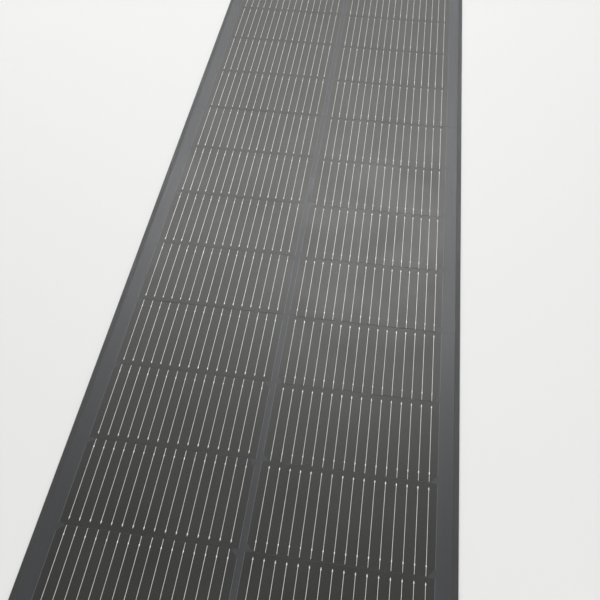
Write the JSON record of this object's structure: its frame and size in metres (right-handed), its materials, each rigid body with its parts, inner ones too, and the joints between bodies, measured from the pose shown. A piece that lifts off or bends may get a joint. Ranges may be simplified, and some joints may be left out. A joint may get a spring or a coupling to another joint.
{
  "type": "flexible solar sheet",
  "caption": "Long flexible solar sheet: half-cut silicon cells with fine round wires under a matt clear front, a thin dark back sheet, and a junction box with cable glands at one end.",
  "frame": {"origin": "middle of the flat back face, on the plane that the sheet lies on", "axes": "+X across the sheet, +Y along it from the junction box end to the plain end, +Z out of the front face"},
  "size_m": [0.413, 1.61, 0.0242],
  "materials": {
    "front_sheet": "clear fluoropolymer film with a fine matt texture",
    "encapsulant": "clear, smooth",
    "cell": "near-black silicon with an anti-reflection coat, satin",
    "back_sheet": "dark blue-grey glass-fibre laminate, matt",
    "ribbon": "tinned copper, satin",
    "box": "fine moulded texture",
    "gland": "smooth moulded nylon",
    "seal": "matt",
    "adhesive": "cured silicone, matt",
    "diode": "moulded epoxy"
  },
  "bodies": {
    "sheet_near": {"back_sheet_1": "back_sheet", "rear_encapsulant_1": "encapsulant", "front_encapsulant_1": "encapsulant", "front_sheet_1": "front_sheet", "cell_left_01": "cell", "cell_left_02": "cell", "cell_left_03": "cell", "cell_left_04": "cell", "cell_right_01": "cell", "cell_right_02": "cell", "cell_right_03": "cell", "cell_right_04": "cell", "bus_ribbon_left": "ribbon", "bus_ribbon_right": "ribbon", "box_adhesive_pad": "adhesive", "junction_box_base": "box", "lid_seal": "seal", "terminal_left": "ribbon", "terminal_right": "ribbon", "bypass_diode": "diode", "cable_gland_left": "gland", "cable_gland_right": "gland"},
    "sheet_mid_near": {"back_sheet_2": "back_sheet", "rear_encapsulant_2": "encapsulant", "front_encapsulant_2": "encapsulant", "front_sheet_2": "front_sheet", "cell_left_05": "cell", "cell_left_06": "cell", "cell_left_07": "cell", "cell_left_08": "cell", "cell_right_05": "cell", "cell_right_06": "cell", "cell_right_07": "cell", "cell_right_08": "cell"},
    "sheet_mid_far": {"back_sheet_3": "back_sheet", "rear_encapsulant_3": "encapsulant", "front_encapsulant_3": "encapsulant", "front_sheet_3": "front_sheet", "cell_left_09": "cell", "cell_left_10": "cell", "cell_left_11": "cell", "cell_left_12": "cell", "cell_right_09": "cell", "cell_right_10": "cell", "cell_right_11": "cell", "cell_right_12": "cell"},
    "sheet_far": {"back_sheet_4": "back_sheet", "rear_encapsulant_4": "encapsulant", "front_encapsulant_4": "encapsulant", "front_sheet_4": "front_sheet", "cell_left_13": "cell", "cell_left_14": "cell", "cell_left_15": "cell", "cell_left_16": "cell", "cell_right_13": "cell", "cell_right_14": "cell", "cell_right_15": "cell", "cell_right_16": "cell", "series_link_ribbon": "ribbon"},
    "lid": {"junction_box_lid": "box"}
  },
  "joints": [
    {"name": "bend_near", "type": "hinge", "parent": "sheet_mid_near", "child": "sheet_near", "pos_m": [0, -0.33575, 0.0012], "axis": [-1, 0, 0], "range_deg": [-30, 30], "stiffness_Nm_per_rad": 10.3},
    {"name": "bend_middle", "type": "hinge", "parent": "sheet_mid_near", "child": "sheet_mid_far", "pos_m": [0, 0.03425, 0.0012], "axis": [1, 0, 0], "range_deg": [-30, 30], "stiffness_Nm_per_rad": 11.6},
    {"name": "bend_far", "type": "hinge", "parent": "sheet_mid_far", "child": "sheet_far", "pos_m": [0, 0.40425, 0.0012], "axis": [1, 0, 0], "range_deg": [-30, 30], "stiffness_Nm_per_rad": 11.2},
    {"name": "lid_lift", "type": "slide", "parent": "sheet_near", "child": "lid", "axis": [0, 0, 1], "range_m": [0, 0.03]}
  ]
}
